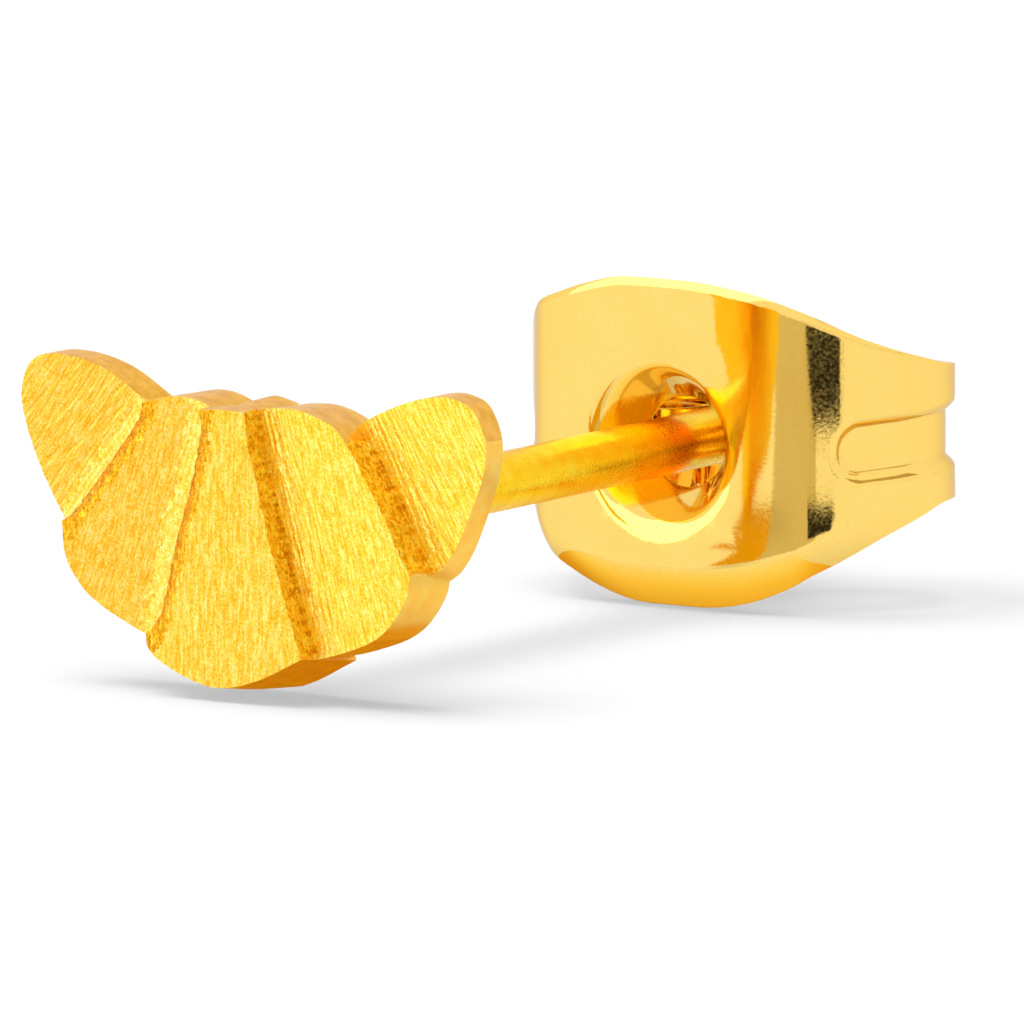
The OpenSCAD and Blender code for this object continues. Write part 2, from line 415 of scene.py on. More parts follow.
def round_rim(piece, front_y, count, before, line):
    """Draws the front slices in along one side, of count points a slice, to round its rim."""
    way = (line[-1] - line[0]).normalized()
    inwards = Vector((way.y, 0, -way.x))
    for vertex in piece.data.vertices:
        number = vertex.index % count - before
        rest = min(1, 1 - (vertex.co.y - front_y) / ROUND_DEPTH)
        if 0 <= number < len(line) and rest > 0:
            to_end = min(number, len(line) - number) * SAW_STEP
            reach = ROUND_WIDTH * min(1, to_end / ROUND_FADE)
            vertex.co += inwards * reach * (1 - math.sqrt(1 - rest * rest))


def soft_corners(piece, front_y, step, corners):
    """Draws the blank in towards its middle, behind its steps, round their top ends."""
    middle = sum((v.co for v in piece.data.vertices), Vector()) / len(piece.data.vertices)
    for vertex in piece.data.vertices:
        flat = Vector((vertex.co.x, vertex.co.z))
        nearness = max(1 - (flat - corner).length / CORNER_WIDTH for corner in corners)
        depth = (vertex.co.y - front_y - step) / CORNER_FADE
        if nearness > 0 and depth > 0:
            inwards = (Vector((middle.x, vertex.co.y, middle.z)) - vertex.co).normalized()
            vertex.co += inwards * CORNER_DRAW * nearness * nearness * min(1, depth)


# %% Helper: saw out the blank of a lobe
THIN_SLICES = [0.02, 0.03, 0.05, 0.06] + [0.07] * 6
LEAST_SLICE = 0.02 * MM
TOP_CORNERS_ABOVE = 3


def blank(name, lobe, thickness, step, lean, lean_about, drop, round_side):
    """A lobe's closed blank in front of back_y, its back wider by lean (x, z) and lowered by drop.

    Its step group holds the points of its steps down to the neighbour's front."""
    points, on_step = saw_line(lobe)
    front_y = back_y - thickness
    bpy.ops.mesh.primitive_circle_add(vertices=len(points), radius=MM, fill_type="NGON")
    piece = bpy.context.object
    piece.name = name
    for vertex, point in zip(piece.data.vertices, points):
        vertex.co = (point.x, front_y, point.y)
    group = piece.vertex_groups.new(name="step")
    pick(piece, "FACE")
    slices = [depth * MM for depth in THIN_SLICES]
    while sum(slices) > thickness - LEAST_SLICE:
        slices.pop()
    slices.append(thickness - sum(slices))
    far = 0.0
    for depth in slices:
        far += depth
        ratio = depth / thickness
        bpy.ops.mesh.extrude_region_move(
            TRANSFORM_OT_translate={"value": (0, depth, -drop * MM * ratio)}
        )
        bpy.ops.transform.resize(
            value=(1 + lean[0] * ratio, 1, 1 + lean[1] * ratio),
            center_override=(lean_about[0] * MM, front_y + far, lean_about[1] * MM),
        )
    bpy.ops.object.mode_set(mode="OBJECT")
    count = len(points)
    if round_side is not None:
        before = sum(len(smooth_line(marks)) for _, marks in lobe[:round_side])
        round_rim(piece, front_y, count, before, smooth_line(lobe[round_side][1]))
    ends = [mark for finish, marks in lobe if finish == STEP for mark in (marks[0], marks[-1])]
    corners = [Vector(mark) * MM for mark in ends if mark[1] > TOP_CORNERS_ABOVE]
    if corners:
        soft_corners(piece, front_y, step * MM, corners)
    torn_y = front_y + step * MM
    stepped = [v.index for v in piece.data.vertices if on_step[v.index % count] and v.co.y < torn_y]
    group.add(stepped, 1.0, "REPLACE")
    outwards(piece)
    return piece


# %% [markdown]
# ## The brushed fronts
#
# The front of every lobe is scratched lengthwise, as with a coarse brush or file, in a direction of
# its own. The scratches are real relief here. A fine grid is laid over the lobe, turned so that its
# long side follows them, and displaced by noise that is stretched a long way in that direction. An
# empty carries the noise's size and turn, because the Displace modifier can read its texture in
# another object's space. Beside a step the file has also sunk the front a little, so the points
# near the step's line are moved back. The grid is then pulled back into a closed block, and what
# the block and the blank share is the lobe, with its brushed front.

# %% Helper: roughen by stretched noise
def stretched_noise(piece, name, size, centre, turn, strength, group=""):
    """Displaces the piece by noise of the given size (x, y, z), in a space turned about Y."""
    bpy.ops.object.empty_add(location=centre)
    space = bpy.context.object
    space.rotation_euler = (0, turn, 0)
    space.scale = size
    texture = bpy.data.textures.new(name, "CLOUDS")
    texture.noise_scale = 1.0
    texture.noise_depth = 2
    shaped_by(
        piece, "DISPLACE", texture=texture, texture_coords="OBJECT", texture_coords_object=space,
        direction="NORMAL", mid_level=0.5, strength=strength, vertex_group=group,
    )
    bpy.data.objects.remove(space)


# %% Helper: brush a block for the front of a lobe
ACROSS = 0.016 * MM
ALONG = 0.06 * MM
MARGIN = 0.1 * MM
SINK = 0.03 * MM
VALLEY_WIDTH = 0.12 * MM
VALLEY_DEPTH = 0.012 * MM
SEED_RISE = 0.37
BRUSHING = [
    # layer, size of its noise across, through and along the scratches, and strength
    ("scratches", (0.040 * MM, MM, 0.7 * MM), 0.018 * MM),
    ("strokes", (0.13 * MM, MM, 0.6 * MM), 0.014 * MM),
    ("grain", (0.045 * MM, MM, 0.08 * MM), 0.016 * MM),
]


def brushed_block(name, lobe, thickness, turn, seed, valley):
    """A closed block, its front scratched along the direction turn and sunk along the valley."""
    points, _ = saw_line(lobe)
    along = Vector((math.sin(turn), math.cos(turn)))
    across = Vector((math.cos(turn), -math.sin(turn)))
    wide = [p.dot(across) for p in points]
    long = [p.dot(along) for p in points]
    width = max(wide) - min(wide) + 2 * MARGIN
    height = max(long) - min(long) + 2 * MARGIN
    middle = across * (max(wide) + min(wide)) / 2 + along * (max(long) + min(long)) / 2
    front_y = back_y - thickness + SINK
    bpy.ops.mesh.primitive_grid_add(
        x_subdivisions=round(width / ACROSS), y_subdivisions=round(height / ALONG), size=1
    )
    block = bpy.context.object
    block.name = name
    block.scale = (width, height, 1)
    block.rotation_euler = (math.pi / 2, turn, 0)
    block.location = (middle.x, front_y, middle.y)
    place_applied(block)
    start = (seed * MM, front_y, seed * SEED_RISE * MM)
    for layer, size, strength in BRUSHING:
        stretched_noise(block, f"{name}_{layer}", size, start, turn, strength)
    for vertex in block.data.vertices if valley else ():
        flat = Vector((vertex.co.x, vertex.co.z))
        nearness = 1 - min((flat - point).length for point in valley) / VALLEY_WIDTH
        if nearness > 0:
            vertex.co.y += VALLEY_DEPTH * nearness * nearness
    behind = back_y + MARGIN
    pick(block, "EDGE", lambda edge: False)
    bpy.ops.mesh.select_non_manifold()
    bpy.ops.mesh.extrude_region_move(TRANSFORM_OT_translate={"value": (0, thickness, 0)})
    bpy.ops.transform.resize(value=(1, 0, 1), center_override=(0, behind, 0))
    bpy.ops.mesh.edge_face_add()
    outwards(block)
    return block


# %% [markdown]
# ## The five lobes become one croissant
#
# The table says what is special about each lobe: the thickness of its plate, the step down to its
# neighbours in millimetres, how much wider its back is in x and z (lean) away from one spot
# (lean_about), how much lower it is (drop), the turn of its scratches from upright in degrees, and
# how much paler or deeper its gold is painted, as painted light for how much light it catches. The
# seed says where the noise is read, one side may have a round rim, and a valley is the neighbour's
# step that the front is sunk along.

# %% The five lobes
LOBES = [
    dict(
        name="middle_lobe", lobe=MIDDLE_LOBE, thickness=MIDDLE_T, step=0.38, lean=(0.0, 0.066),
        lean_about=(0.0, 3.24), turn=1.0, pale=0.95, seed=3, round_side=3,
    ),
    dict(
        name="right_lobe", lobe=RIGHT_LOBE, thickness=SIDE_T, step=0.52, lean=(0.0, 0.003),
        lean_about=(0.3, 4.0), drop=0.05, turn=-15.5, pale=1.08, seed=7, valley=MIDDLE_LOBE[1],
    ),
    dict(
        name="left_lobe", lobe=LEFT_LOBE, thickness=SIDE_T, step=0.52, lean=(0.02, 0.04),
        lean_about=(-0.3, 4.1), drop=0.02, turn=18.0, pale=0.84, seed=11, round_side=3,
        valley=MIDDLE_LOBE[3],
    ),
    dict(
        name="right_horn", lobe=RIGHT_HORN, thickness=HORN_T, lean=(-0.06, 0.053),
        lean_about=(2.5, 4.3), turn=-29.0, pale=1.10, seed=17, valley=RIGHT_LOBE[1],
    ),
    dict(
        name="left_horn", lobe=LEFT_HORN, thickness=HORN_T, lean=(0.055, 0.0),
        lean_about=(-3.8, 4.43), turn=36.0, pale=0.85, seed=23, valley=LEFT_LOBE[3],
    ),
]
print("lobes:", [row["name"] for row in LOBES])

# %% [markdown]
# Each front gets its own brushed gold, because its scratches run its own way, and its tones are
# painted paler or deeper as painted light, for how much of the pale light it catches. Finishes are
# given while the parts are simple, and the Boolean keeps them, since both parts carry the same list.
# A noise makes their limits ragged, as handwork does.

# %% Brushed gold for every lobe
BRUSHED_TONES = ((0.92, 0.44, 0.015), (1.0, 0.60, 0.055), (1.0, 0.76, 0.19))
FINISHES = [satin_gold, torn_gold, buffed_gold, painted_highlight_gold, dark_rim_gold, painted_lit_satin_gold]
for row in LOBES:
    # painted light: each lobe's green and blue are scaled, paler where it catches more light, deeper
    # where it catches less
    pale = row.pop("pale")
    row["front_gold"] = gold(
        f"brushed_gold_{row['name']}",
        tones=[(r, g * pale, b * pale) for r, g, b in BRUSHED_TONES],
        rough=(0.24, 0.46), depth=0.008 * MM, colour_size=0.036 * MM, relief_size=0.032 * MM,
        along=8, turn=math.radians(row["turn"]), speckle=0.45,
    )
    FINISHES.append(row["front_gold"])


def with_finishes(piece, finish_of):
    """Gives the piece all the finishes, and every face the one that finish_of chooses."""
    for material in FINISHES:
        piece.data.materials.append(material)
    for face in piece.data.polygons:
        face.material_index = FINISHES.index(finish_of(face))


# %% [markdown]
# Now each lobe can be made in one go, and the five are joined into one closed croissant.

# %% Make the lobes and join them
TORN_BAND = 0.05 * MM
DARK_RIM_BAND = 0.28 * MM
PAINTED_HIGHLIGHT_BAND = 0.32 * MM
RAGGED_SIZE = 0.06 * MM
RAGGED_DEPTH = 0.06
MORE_RAGGED = 3
TEAR_SIZE = 0.09 * MM
TEAR_DEPTH = 0.07 * MM
FLAT_WITHIN = 0.001 * MM
FACES_RIGHT = 0.5
FACES_UP = 0.2
CROISSANT_SMOOTH = 38


def combined(piece, other, operation):
    """Boolean of two closed parts into the first one."""
    shaped_by(piece, "BOOLEAN", object=other, operation=operation, solver="MANIFOLD")
    bpy.data.objects.remove(other)


def finished_lobe(
    name, lobe, thickness, lean, lean_about, turn, seed, front_gold,
    step=0, drop=0.0, round_side=None, valley=None,
):
    """One lobe: its blank, roughened on the steps, cut to its brushed front."""
    piece = blank(name, lobe, thickness, step, lean, lean_about, drop, round_side)
    stepped = {v.index for v in piece.data.vertices if v.groups}
    flat_back = back_y - FLAT_WITHIN

    def finish_of(face):
        """Buffed behind, satin round the edge with a paler satin painted as light where it faces
        right, torn or darker on the steps.
        """
        if face.center.y > flat_back:
            return buffed_gold
        if len(face.vertices) > 4 or not all(i in stepped for i in face.vertices):
            # painted light: edges that face right and not up get the paler satin
            painted_lit_edge = face.normal.x > FACES_RIGHT and face.normal.z < FACES_UP
            return painted_lit_satin_gold if painted_lit_edge else satin_gold
        return torn_gold if face.normal.x > 0 else dark_rim_gold

    with_finishes(piece, finish_of)
    start = (seed * MM, 0, 0)
    stretched_noise(piece, f"{name}_tears", (TEAR_SIZE,) * 3, start, 0, TEAR_DEPTH, "step")
    line = smooth_line(valley[1]) if valley else ()
    rim = smooth_line(lobe[round_side][1]) if round_side is not None else ()
    block = brushed_block(f"{name}_block", lobe, thickness, math.radians(turn), seed, line)

    def front_finish_of(face):
        """Torn beside a step, darker at a round rim, a paler painted highlight a little further on,
        else brushed.
        """
        spot = Vector((face.center.x, face.center.z))
        off_line = min(((spot - point).length for point in line), default=1)
        off_rim = min(((spot - point).length for point in rim), default=1)
        ragged = noise.noise(face.center / RAGGED_SIZE) * RAGGED_DEPTH * MM
        if off_line < TORN_BAND + ragged:
            return torn_gold
        if off_rim < DARK_RIM_BAND + ragged:
            return dark_rim_gold
        # painted highlight: a paler strip a little way from the step
        return painted_highlight_gold if off_line < PAINTED_HIGHLIGHT_BAND + MORE_RAGGED * ragged else front_gold

    with_finishes(block, front_finish_of)
    combined(piece, block, "INTERSECT")
    print(name, len(piece.data.polygons), "faces")
    return piece


lobes = [finished_lobe(**row) for row in LOBES]
croissant = lobes[0]
for lobe in lobes[1:]:
    combined(croissant, lobe, "UNION")
croissant.name = "croissant"
smoothed(croissant, CROISSANT_SMOOTH)
print("croissant:", size_of(croissant), "mm,", len(croissant.data.polygons), "faces")

# %% [markdown]
# ## The post
#
# The post is a length of round wire, soldered to the flat back, with the solder drawn into a small
# fillet at its root and a rounded tip. A turned part is easiest from a ring that is pulled along
# and scaled, stage by stage, like a profile on a lathe. The root starts a little inside the
# croissant so that no gap can show.

# %% Turn the post
RING_POINTS = 96
FILLET = 0.15 * MM
TIP = 0.15 * MM
ROOT_DEPTH = 0.25 * MM
ROUND_STEPS = 6
POST_SMOOTH = 40


def turned(name, profile, centre_x, centre_z):
    """A closed turned part along Y from its profile, a list of (radius, y)."""
    first_r, first_y = profile[0]
    bpy.ops.mesh.primitive_circle_add(
        vertices=RING_POINTS, radius=first_r, fill_type="NGON",
        location=(centre_x, first_y, centre_z), rotation=(math.pi / 2, 0, 0),
    )
    piece = bpy.context.object
    piece.name = name
    place_applied(piece)
    pick(piece, "FACE")
    r, y = first_r, first_y
    for next_r, next_y in profile[1:]:
        bpy.ops.mesh.extrude_region_move(TRANSFORM_OT_translate={"value": (0, next_y - y, 0)})
        bpy.ops.transform.resize(
            value=(next_r / r, 1, next_r / r), center_override=(centre_x, next_y, centre_z)
        )
        r, y = next_r, next_y
    outwards(piece)
    return piece


rounding = [math.radians(90 * k / ROUND_STEPS) for k in range(ROUND_STEPS + 1)]
profile = [(POST_R + FILLET, back_y - ROOT_DEPTH)]
for angle in rounding:
    r = POST_R + FILLET * (1 - math.sin(angle))
    profile.append((r, back_y + FILLET * (1 - math.cos(angle))))
profile += [(POST_R, back_y + POST_LENGTH * share) for share in (0.25, 0.5, 0.75)]
for angle in rounding:
    r = POST_R - TIP * (1 - math.cos(angle))
    profile.append((r, back_y + POST_LENGTH - TIP * (1 - math.sin(angle))))
post = turned("ear_post", profile, POST_X, POST_Z)
post.data.materials.append(drawn_gold)
smoothed(post, POST_SMOOTH)
print("post:", size_of(post), "mm")

# %% [markdown]
# ## The butterfly back, first as a flat sheet
#
# A butterfly back is stamped from thin sheet: the blank is punched, its dish and grooves are
# pressed, and then both ends are rolled up. We work in the same order. The outer face is laid out
# flat, with X along the strip, Z across it and depth along Y, and only one half is made, because
# the other half is its mirror image. Here a grid is added and its lines are slid to where the
# pressing needs them: close together at the groove's edges and where the groove starts.

# %% Lay out the sheet
BLOCK = 1.4
FULL_HALF = 2.25
KEPT_HALF = 0.66
STRIP_END = 10.18
FINE_FROM = 1.95
FINE_TO = 3.3
SHEET_ROWS = [0, 0.07, 0.14, 0.2, 0.25, 0.285, 0.305, 0.325, 0.35, 0.39, 0.43, 0.47, 0.51, 0.55]
SHEET_ROWS += [0.6, 0.66, 0.74, 0.84, 0.96, 1.1, 1.25, BLOCK, 1.53, 1.63, 1.71, 1.78, 1.85, 1.91]
SHEET_ROWS += [1.97, 2.02, 2.06, 2.10, 2.14, 2.17, 2.2, 2.225, FULL_HALF]


def spaced(start, end, gap):
    """Evenly spaced places after start, up to end, about gap apart."""
    steps = round((end - start) / gap)
    return [start + (end - start) * k / steps for k in range(1, steps + 1)]


rows = [-z for z in SHEET_ROWS[:0:-1]] + SHEET_ROWS
columns = [-BLOCK] + spaced(-BLOCK, BLOCK, 0.1) + spaced(BLOCK, FINE_FROM, 0.08)
columns += spaced(FINE_FROM, FINE_TO, 0.04) + spaced(FINE_TO, STRIP_END, 0.1)
bpy.ops.mesh.primitive_grid_add(
    x_subdivisions=len(columns) - 1, y_subdivisions=len(rows) - 1,
    size=MM, rotation=(math.pi / 2, 0, 0),
)
sheet = bpy.context.object
sheet.name = "butterfly_sheet"
place_applied(sheet)
for number, vertex in enumerate(sheet.data.vertices):
    vertex.co.x = columns[number % len(columns)] * MM
    vertex.co.z = rows[number // len(columns)] * MM
print("sheet:", len(sheet.data.polygons), "faces")

# %% [markdown]
# The dish needs rings, not squares. The middle of the grid is taken out, the edge of that square
# opening is extruded inwards and its points drawn onto a circle, and from there each ring is an
# extrude that is scaled and pushed back, down to the hole. The profile is a cone with a soft lip.

# %% Press the dish round the hole
DISH_R = 1.1
HOLE_R = 0.635
DISH_DEPTH = 0.76
LIP_SOFTNESS = 0.22
LIP_END = 1.36
DISH_RINGS = [1.3, 1.25, 1.2, 1.17, 1.14, 1.12, 1.1, 1.08, 1.05, 1.01, 0.95, 0.85, 0.75, 0.68, 0.65]
DISH_RINGS.append(HOLE_R)
EDGE_SLACK = 0.01


def soft_cone(r):
    """A cone whose top runs out softly."""
    cone = DISH_DEPTH / (DISH_R - HOLE_R) * (DISH_R - r)
    return (cone + math.sqrt(cone * cone + LIP_SOFTNESS * LIP_SOFTNESS)) / 2


def dish_depth(r):
    """Depth of the dish at radius r, nothing at the end of its lip."""
    return soft_cone(r) - soft_cone(LIP_END)


def in_block(face):
    """Whether a face lies in the square that the dish takes up."""
    return max(abs(face.center.x), abs(face.center.z)) < BLOCK * MM


pick(sheet, "FACE", in_block)
bpy.ops.mesh.delete(type="FACE")


def on_opening(edge):
    """Whether an edge lies on the rim of the square opening."""
    ends = [sheet.data.vertices[i].co for i in edge.vertices]
    far = (BLOCK + EDGE_SLACK) * MM
    return all(max(abs(e.x), abs(e.z)) < far for e in ends)


pick(sheet, "EDGE", on_opening)
bpy.ops.mesh.extrude_edges_move(TRANSFORM_OT_translate={"value": (0, 0, 0)})
bpy.ops.object.mode_set(mode="OBJECT")
for vertex in sheet.data.vertices:
    if vertex.select:
        vertex.co *= DISH_RINGS[0] * MM / vertex.co.length
bpy.ops.object.mode_set(mode="EDIT")
bpy.ops.transform.translate(value=(0, dish_depth(DISH_RINGS[0]) * MM, 0))
for outer, inner in zip(DISH_RINGS, DISH_RINGS[1:]):
    drop = (dish_depth(inner) - dish_depth(outer)) * MM
    bpy.ops.mesh.extrude_edges_move(TRANSFORM_OT_translate={"value": (0, drop, 0)})
    bpy.ops.transform.resize(value=(inner / outer, 1, inner / outer), center_override=(0, 0, 0))
take(sheet)
print("depth at the hole:", round(max(v.co.y for v in sheet.data.vertices) / MM, 3), "mm")

# %% [markdown]
# Next the outline and the rest of the pressing. The strip is tall at the front and narrows along
# the wings. Its long edges are rolled back at the front, which gives the soft bright lines there,
# and a groove with a round start runs along each wing: it holds the post once the ends are rolled.
# The marks give the half height of the strip, and how much of the rolled edge there is, at a
# distance from the middle.

# %% Press the edges and the groove
TOP_HEIGHT = [
    (0, 2.345), (0.4, 2.34), (0.73, 2.325), (1.0, 2.295), (1.5, 2.21), (2.0, 2.06), (2.38, 1.91),
    (2.94, 1.65), (3.52, 1.43), (4.0, 1.29), (4.5, 1.16), (5.4, 1.04), (7.0, 0.92), (10.3, 0.87),
]
BOTTOM_HEIGHT = [
    (0, 2.25), (0.5, 2.245), (1.0, 2.185), (1.5, 2.065), (2.0, 1.87), (2.38, 1.69),
    (2.94, 1.43), (3.52, 1.14), (4.0, 0.94), (4.5, 0.79), (5.4, 0.8), (7.0, 0.86), (10.3, 0.87),
]
GROOVE_LINE = [(0, 0), (2.4, 0), (3.5, 0.07), (4.5, 0.13), (5.4, 0.1), (7.0, 0.0), (10.3, 0)]
EDGE_SHARE = [
    (0, 1.0), (0.8, 1.0), (1.4, 0.8), (2.0, 0.5), (2.6, 0.3), (3.2, 0.18), (4.4, 0), (10.3, 0),
]
BOTTOM_ROLL = (0.43, 0.6)
TOP_ROLL = (0.05, 0.12)
GROOVE_DEPTH = 0.13
GROOVE_FLAT = 0.31
GROOVE_WALL = 0.16
WALL_CURVE = 1.5
GROOVE_START = 3.08


def read_off(line, distance):
    """Height of a line, given by its points, at a distance."""
    for a, b in zip(line, line[1:]):
        if distance <= b[0]:
            return a[1] + (b[1] - a[1]) * (distance - a[0]) / (b[0] - a[0])
    return line[-1][1]


def flowing(marks):
    """The smooth line through marks, as points in millimetres."""
    return [(p.x / MM, p.y / MM) for p in smooth_line(marks)] + [marks[-1]]


top_line, bottom_line = flowing(TOP_HEIGHT), flowing(BOTTOM_HEIGHT)
groove_line, share_line = flowing(GROOVE_LINE), flowing(EDGE_SHARE)


def pressed(distance, z):
    """The height z in the real outline, and how deep the sheet is pressed there."""
    distance = abs(distance)
    groove = read_off(groove_line, distance)
    edge_z = read_off(top_line, distance) if z > 0 else -read_off(bottom_line, distance)
    roll, band = TOP_ROLL if z > 0 else BOTTOM_ROLL
    over = max(0, abs(z) - KEPT_HALF) / (FULL_HALF - KEPT_HALF)
    kept = math.copysign(min(abs(z), KEPT_HALF), z) + groove
    z = kept + (edge_z - kept) * over
    rolled = max(0, 1 - abs(edge_z - z) / band)
    from_groove = math.hypot(max(0, GROOVE_START - distance), z - groove)
    up_wall = min(1, max(0, (from_groove - GROOVE_FLAT) / GROOVE_WALL))
    edge = roll * read_off(share_line, distance) * rolled * rolled
    return z, edge + GROOVE_DEPTH * (1 - up_wall) ** WALL_CURVE


for vertex in sheet.data.vertices:
    z, depth = pressed(vertex.co.x / MM, vertex.co.z / MM)
    vertex.co.z = z * MM
    vertex.co.y += depth * MM
print("height at the front:", round(top_line[0][1] + bottom_line[0][1], 2), "mm")

# %% [markdown]
# The strip left of the middle was only there to press the dish whole, and bisect cuts it off. On an
# open sheet Blender can't know which side is outside, so faces that look back are turned round.

# %% Cut the sheet in half
ON_CUT = 0.001 * MM
pick(sheet, "VERT")
bpy.ops.mesh.bisect(plane_co=(0, 0, 0), plane_no=(1, 0, 0), clear_inner=True, threshold=ON_CUT)
outwards(sheet)
lowest = min(v.co.x for v in sheet.data.vertices)
facing = sum(face.normal.y * face.area for face in sheet.data.polygons)
if facing > 0:
    pick(sheet, "FACE")
    bpy.ops.mesh.flip_normals()
take(sheet)
print("half sheet from", round(lowest / MM, 4), "mm, faces turned round:", facing > 0)

# %% [markdown]
# ## Rolling it up
#
# The sheet now goes round a path: flat at the front, a bend, a straight wing, a roll back to the
# post and a tighter inner end. The path is drawn like a mesh, a point extruded along the straights
# and spun round the arcs, and turned into a curve. A Curve modifier then bends the flat sheet along
# it, and the curve has to start at the front, or it is switched. Only after rolling does the sheet
# get its thickness, so that it is the same everywhere. Spin turns the other way when Blender has no
# window, hence the minus sign.

# %% Helpers: a path of straights and arcs
SHEET_T = 0.22
FLAT_HALF = 0.73
BENDS = [(3.2, 23), (0.9, 46), (3.2, 56)]
ROLL_R = 1.45
END_R = 0.95
END_TURN = 75
ARC_TURN = 2
POST_CLEARANCE = 0.03
PRESSED_TO_POST = POST_R / MM + POST_CLEARANCE - GROOVE_DEPTH


def heading(degrees):
    """Direction on the path after turning by so many degrees from straight along X."""
    return Vector((math.cos(math.radians(degrees)), math.sin(math.radians(degrees)), 0))


def walked(there, length, turned_by):
    """Extrudes the selected end point straight on by a length."""
    way = heading(turned_by)
    bpy.ops.mesh.extrude_region_move(TRANSFORM_OT_translate={"value": way * length * MM})
    return there + way * length


def spun(there, radius, turned_by, to):
    """Spins the selected end point round an arc from one heading to another."""
    centre = there + radius * heading(turned_by + 90)
    steps = round((to - turned_by) / ARC_TURN)
    bpy.ops.mesh.spin(
        steps=steps, angle=-math.radians(to - turned_by), center=centre * MM, axis=(0, 0, 1)
    )
    return centre - radius * heading(to + 90)


# %% Draw the path
bpy.ops.mesh.primitive_plane_add(size=MM)
path = bpy.context.object
path.name = "roll_path"
pick(path, "VERT")
bpy.ops.mesh.merge(type="CENTER")
there = walked(Vector((0, 0, 0)), FLAT_HALF, 0)
turned_by = 0
for radius, to in BENDS:
    there = spun(there, radius, turned_by, to)
    turned_by = to
roll_start = PRESSED_TO_POST + ROLL_R - ROLL_R * heading(turned_by + 90).x
there = walked(there, (roll_start - there.x) / heading(turned_by).x, turned_by)
there = spun(there, ROLL_R, turned_by, 270)
there = spun(there, END_R, 270, 270 + END_TURN)
print("path ends at", [round(part, 2) for part in there], "mm")

# %% Roll the half sheet round the path
AT_START = 0.01 * MM
take(path)
bpy.ops.object.convert(target="CURVE")
path = bpy.context.object
path.data.dimensions = "3D"
path.data.twist_mode = "Z_UP"
if path.data.splines[0].points[0].co.to_3d().length > AT_START:
    bpy.ops.object.mode_set(mode="EDIT")
    bpy.ops.curve.select_all(action="SELECT")
    bpy.ops.curve.switch_direction()
    bpy.ops.object.mode_set(mode="OBJECT")
print("path:", round(path.data.splines[0].calc_length() / MM, 3), "mm long")
shaped_by(sheet, "CURVE", object=path, deform_axis="POS_X")
bpy.data.objects.remove(path)
rear = max(v.co.y for v in sheet.data.vertices) / MM
wide = max(v.co.x for v in sheet.data.vertices) / MM
print("rolled half: rear at", round(rear, 3), "mm, widest at", round(wide, 3), "mm")

# %% [markdown]
# ## The other half, the thickness and the cut edge
#
# A mirror makes the half sheet whole. A stamped back is never quite even: this one's left wing is a
# little lower, so its points are drawn in. All sizes were taken on the outer face, so the thickness
# goes behind it, and a small bevel breaks the cut edge, which then shows as a thin bright line.

# %% Mirror, thicken and round the cut edge
LEFT_START = 0.5 * MM
LEFT_END = 1.9 * MM
LEFT_NARROWER = 0.055
MIRROR_MERGE = 0.002 * MM
BROKEN_EDGE = 0.03 * MM
SHARP_FROM = 55
BACK_SMOOTH = 50
shaped_by(sheet, "MIRROR", use_axis=(True, False, False), use_clip=True, merge_threshold=MIRROR_MERGE)
for vertex in sheet.data.vertices:
    past = min(1, max(0, (-vertex.co.x - LEFT_START) / (LEFT_END - LEFT_START)))
    vertex.co.z *= 1 - LEFT_NARROWER * past * past * (3 - 2 * past)
shaped_by(sheet, "SOLIDIFY", thickness=SHEET_T * MM, offset=-1.0, use_even_offset=True)
shaped_by(
    sheet, "BEVEL", width=BROKEN_EDGE, segments=2,
    limit_method="ANGLE", angle_limit=math.radians(SHARP_FROM),
)
sheet.location = (POST_X, clutch_y, POST_Z)
place_applied(sheet)
sheet.data.materials.append(mirror_gold)
smoothed(sheet, BACK_SMOOTH)
print("back:", size_of(sheet), "mm,", len(sheet.data.polygons), "faces")

# %% [markdown]
# ## Floor and room
#
# The stud lies on a white table in a white studio. The metal mirrors the room, a plain white world,
# but the room lights nothing matt, so that the table has its light and its shadows from the lamps.


# %% Floor and room
def paper(name, tone, glow=0.0):
    """Matt paper of one tone, which may glow a little by itself."""
    material = bpy.data.materials.new(name)
    material.use_nodes = True
    shader = material.node_tree.nodes["Principled BSDF"]
    dial(shader, {"Base Color": (*[part * (1 - glow) for part in tone], 1), "Roughness": 0.9})
    dial(shader, {"Specular IOR Level": 0.0, "Emission Color": (*tone, 1), "Emission Strength": glow})
    return material


FLOOR_SIZE = 0.8
WHITE = (0.92, 0.92, 0.92)
ROOM_LIGHT = 1.0
bpy.ops.mesh.primitive_plane_add(size=FLOOR_SIZE)
floor = bpy.context.object
floor.name = "floor"
floor.data.materials.append(paper("white_paper", WHITE))
world = bpy.data.worlds.new("studio")
world.use_nodes = True
dial(world.node_tree.nodes["Background"], {"Color": (1, 1, 1, 1), "Strength": ROOM_LIGHT})
world.cycles_visibility.diffuse = False
bpy.context.scene.world = world
bpy.context.scene.view_settings.view_transform = "Standard"
print("floor:", FLOOR_SIZE, "m, room light:", ROOM_LIGHT)

# %% [markdown]
# ## Lamps
#
# A lamp in Cycles adds its light to whatever is mirrored behind it, so one lamp is seldom right for
# both the metal and the table. Here each serves one of them. The key lamp, a large soft box at the
# front left, shows only in reflections. Two lamps up on the left light only the table, a wide one
# for an even white and a smaller one for soft shadows. The low lamp is the light that the table
# throws up at the croissant's right-hand edges, and is linked to the croissant alone, because the
# polished back would mirror it as a bright spot.


# %% Set up the lamps
def lamp(name, place, aim, width, height, power):
    """A soft box: an area light at a place, turned to face a point."""
    bpy.ops.object.light_add(type="AREA", location=place)
    light = bpy.context.object
    light.name = name
    light.data.shape = "RECTANGLE"
    light.data.size = width
    light.data.size_y = height
    light.data.energy = power
    light.rotation_euler = (Vector(aim) - Vector(place)).to_track_quat("-Z", "Y").to_euler()
    light.visible_camera = False
    return light


